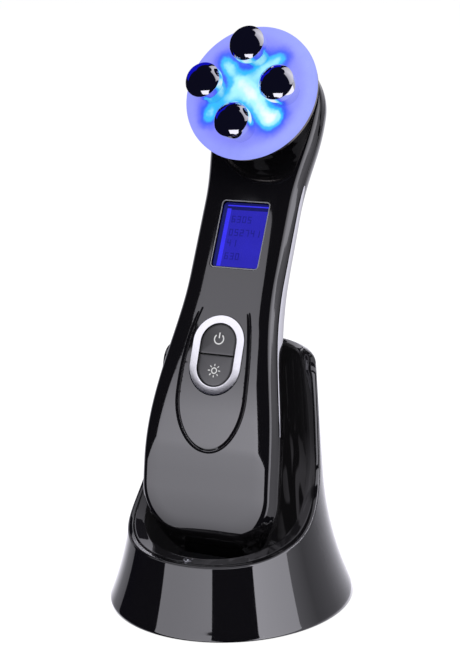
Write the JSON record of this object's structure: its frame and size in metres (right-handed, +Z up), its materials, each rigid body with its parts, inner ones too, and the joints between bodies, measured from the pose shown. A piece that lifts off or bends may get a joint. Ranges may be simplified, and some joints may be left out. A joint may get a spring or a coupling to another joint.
{
  "type": "facial toning device",
  "caption": "Curved handset with display, two buttons, a lit round head and domed metal electrodes, leaning in a flared charging stand.",
  "frame": {"origin": "on the table, under the middle of the stand's round base", "axes": "+Z up; the display, the buttons and the lit head face -Y; +X is to the right of somebody facing the front"},
  "size_m": [0.088, 0.1078, 0.2004],
  "materials": {
    "gloss_black": "piano black, polished",
    "satin_black": "satin moulded plastic",
    "gloss_button": "polished, with a white mark",
    "silver_ring": "bright silver plating",
    "bright_metal": "bright plating",
    "electrode_chrome": "mirror plating",
    "gunmetal": "dark satin plating",
    "frosted_lens": "frosted, lit blue violet",
    "led_body": "clear lamp body, lit",
    "clear_window": "clear, polished",
    "lcd_blue": "blue display, lit",
    "charge_glow": "clear light pipe",
    "white_plastic": "satin",
    "circuit_board": "solder mask",
    "battery_film": "foil pouch",
    "gold_contact": "gold plating",
    "spring_steel": "drawn wire",
    "screw_steel": "zinc plated",
    "ballast_iron": "as cast",
    "pad_rubber": "matt"
  },
  "bodies": {
    "stand": {"stand_shell": "gloss_black", "cup_liner": "gloss_black", "contact_seat": "satin_black", "contact_board": "circuit_board", "pin_spring_left": "spring_steel", "pin_spring_right": "spring_steel", "light_bezel": "bright_metal", "charge_led": "charge_glow", "dc_jack": "satin_black", "ballast_ring": "ballast_iron", "base_plate": "satin_black", "base_screws": "screw_steel", "foot_pad": "pad_rubber"},
    "pin_left": {"contact_pin_left": "gold_contact"},
    "pin_right": {"contact_pin_right": "gold_contact"},
    "handset": {"front_shell": "gloss_black", "rear_shell": "gloss_black", "side_strip_left": "bright_metal", "side_strip_right": "bright_metal", "case_screws": "screw_steel", "lcd_window": "clear_window", "lcd_panel": "lcd_blue", "lcd_backlight": "white_plastic", "lcd_holder": "white_plastic", "button_ring": "silver_ring", "switch_bodies": "satin_black", "key_board": "circuit_board", "main_board": "circuit_board", "battery": "battery_film", "charge_contacts": "gold_contact", "head_collar": "gloss_black", "collar_screws": "screw_steel", "trim_ring": "gunmetal", "head_lens": "frosted_lens", "led_board": "circuit_board", "leds": "led_body", "electrode_top": "electrode_chrome", "electrode_right": "electrode_chrome", "electrode_bottom": "electrode_chrome", "electrode_left": "electrode_chrome", "electrode_nuts": "screw_steel"},
    "power": {"power_button": "gloss_button", "power_stem": "white_plastic"},
    "select": {"select_button": "gloss_button", "select_stem": "white_plastic"}
  },
  "joints": [
    {"name": "handset_lift", "type": "slide", "parent": "stand", "child": "handset", "axis": [0, 0, 1], "range_m": [0, 0.09]},
    {"name": "power_press", "type": "slide", "parent": "handset", "child": "power", "axis": [0, 0.9023, -0.431], "range_m": [0, 0.0006], "stiffness_N_per_m": 900, "springref_m": -0.0006},
    {"name": "select_press", "type": "slide", "parent": "handset", "child": "select", "axis": [0, 0.9023, -0.431], "range_m": [0, 0.0006], "stiffness_N_per_m": 900, "springref_m": -0.0006},
    {"name": "pin_left_press", "type": "slide", "parent": "stand", "child": "pin_left", "axis": [0, 0.5075, 0.8616], "range_m": [-0.0012, 0], "stiffness_N_per_m": 300, "springref_m": 0.001, "deforming": ["pin_spring_left"]},
    {"name": "pin_right_press", "type": "slide", "parent": "stand", "child": "pin_right", "axis": [0, 0.5075, 0.8616], "range_m": [-0.0012, 0], "stiffness_N_per_m": 300, "springref_m": 0.001, "deforming": ["pin_spring_right"]}
  ]
}
